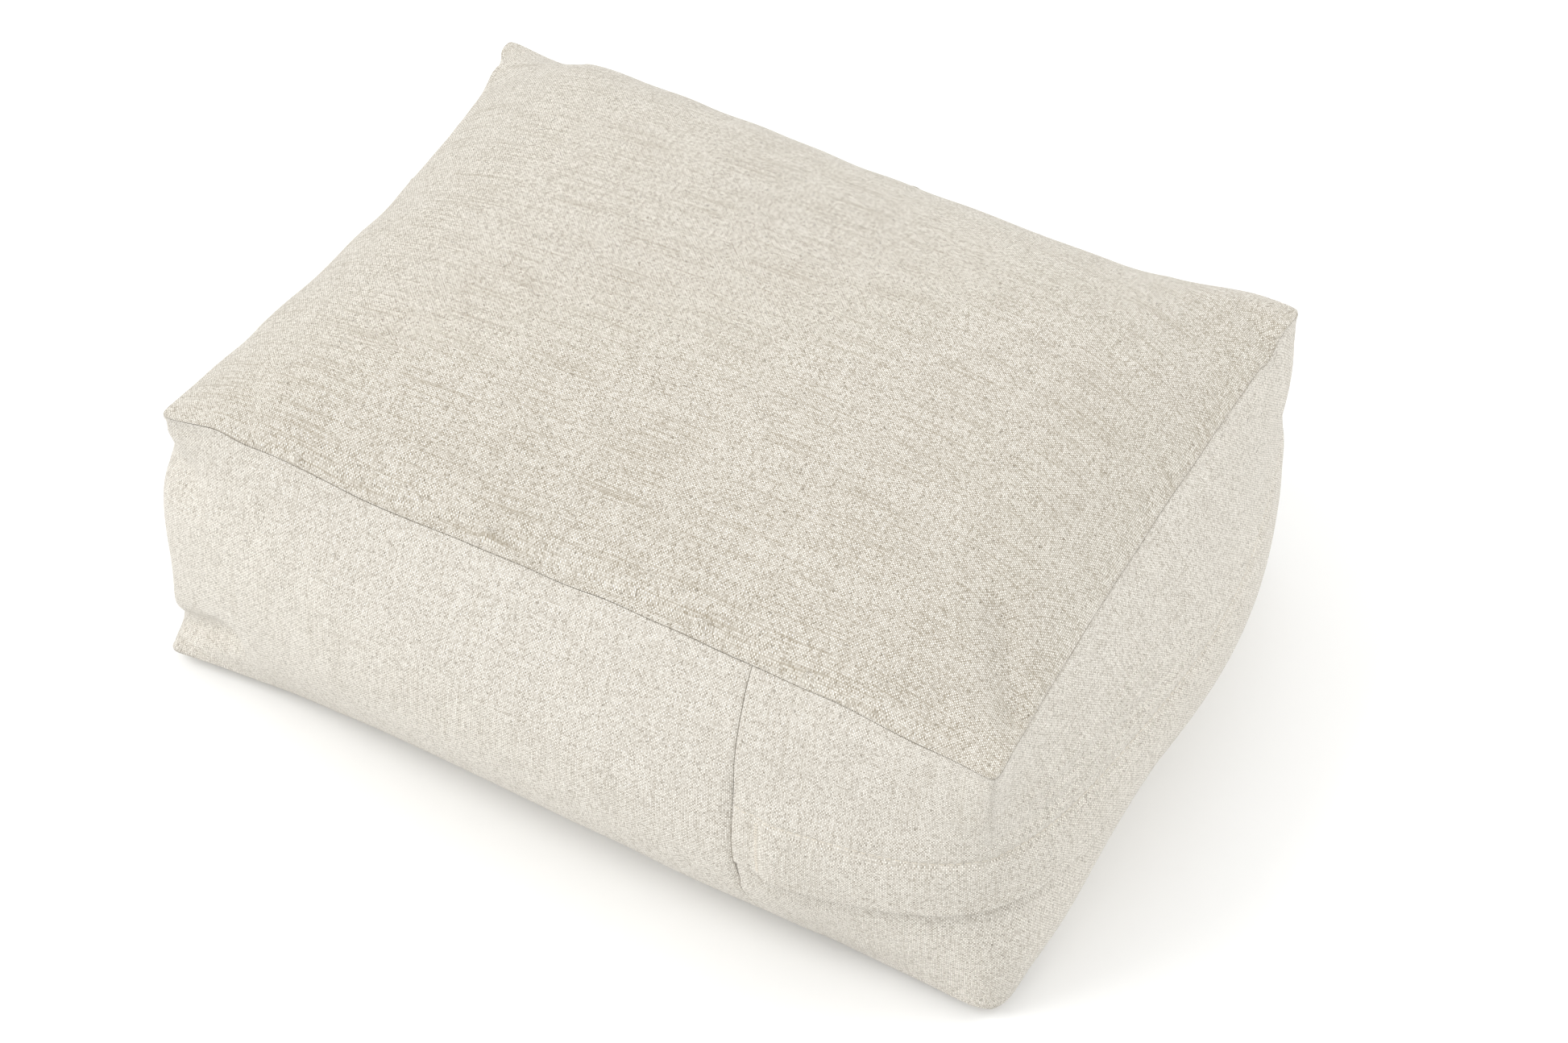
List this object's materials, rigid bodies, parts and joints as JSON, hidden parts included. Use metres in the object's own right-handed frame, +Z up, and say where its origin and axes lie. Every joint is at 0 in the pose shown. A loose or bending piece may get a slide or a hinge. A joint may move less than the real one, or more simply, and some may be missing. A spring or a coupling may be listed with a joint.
{
  "type": "floor cushion",
  "caption": "Boxed linen floor cushion, oblong and firmly filled, with crowned top, bulging band and a concealed zip under a folded flap round one end.",
  "frame": {"origin": "on the floor under the middle of the cushion", "axes": "+Z up, +X along the long side towards the zipped end, -Y the front long side"},
  "size_m": [0.4524, 0.348, 0.194],
  "materials": {
    "linen": "undyed plain-weave linen with slubs, matte",
    "zip_tape": "woven tape, matte",
    "zip_coil": "matte polyester coil",
    "zip_metal": "satin nickel",
    "thread": "spun sewing thread",
    "case_cotton": "plain cotton, matte",
    "fill": "loose natural fill"
  },
  "bodies": {
    "cushion": {"cover_top_panel": "linen", "cover_bottom_panel": "linen", "boxing_strip": "linen", "zip_gusset_upper": "linen", "zip_gusset_lower": "linen", "zip_tape_upper": "zip_tape", "zip_tape_lower": "zip_tape", "zip_coil_upper": "zip_coil", "zip_coil_lower": "zip_coil", "zip_bottom_stop": "zip_metal", "zip_top_stop_upper": "zip_metal", "zip_top_stop_lower": "zip_metal", "flap_topstitch": "thread", "inner_case_upper": "case_cotton", "inner_case_lower": "case_cotton", "fill": "fill"},
    "slider": {"zip_slider": "zip_metal"},
    "pull": {"zip_pull": "zip_metal"}
  },
  "joints": [
    {"name": "slider_run", "type": "hinge", "parent": "cushion", "child": "slider", "pos_m": [0, -0.67133, 0.073], "axis": [0, 0, -1], "range_deg": [0, 4.4]},
    {"name": "pull_swing", "type": "hinge", "parent": "slider", "child": "pull", "pos_m": [0.098, 0.16468, 0.073], "axis": [-0.1164, -0.9932, 0], "range_deg": [-12, 75]}
  ]
}
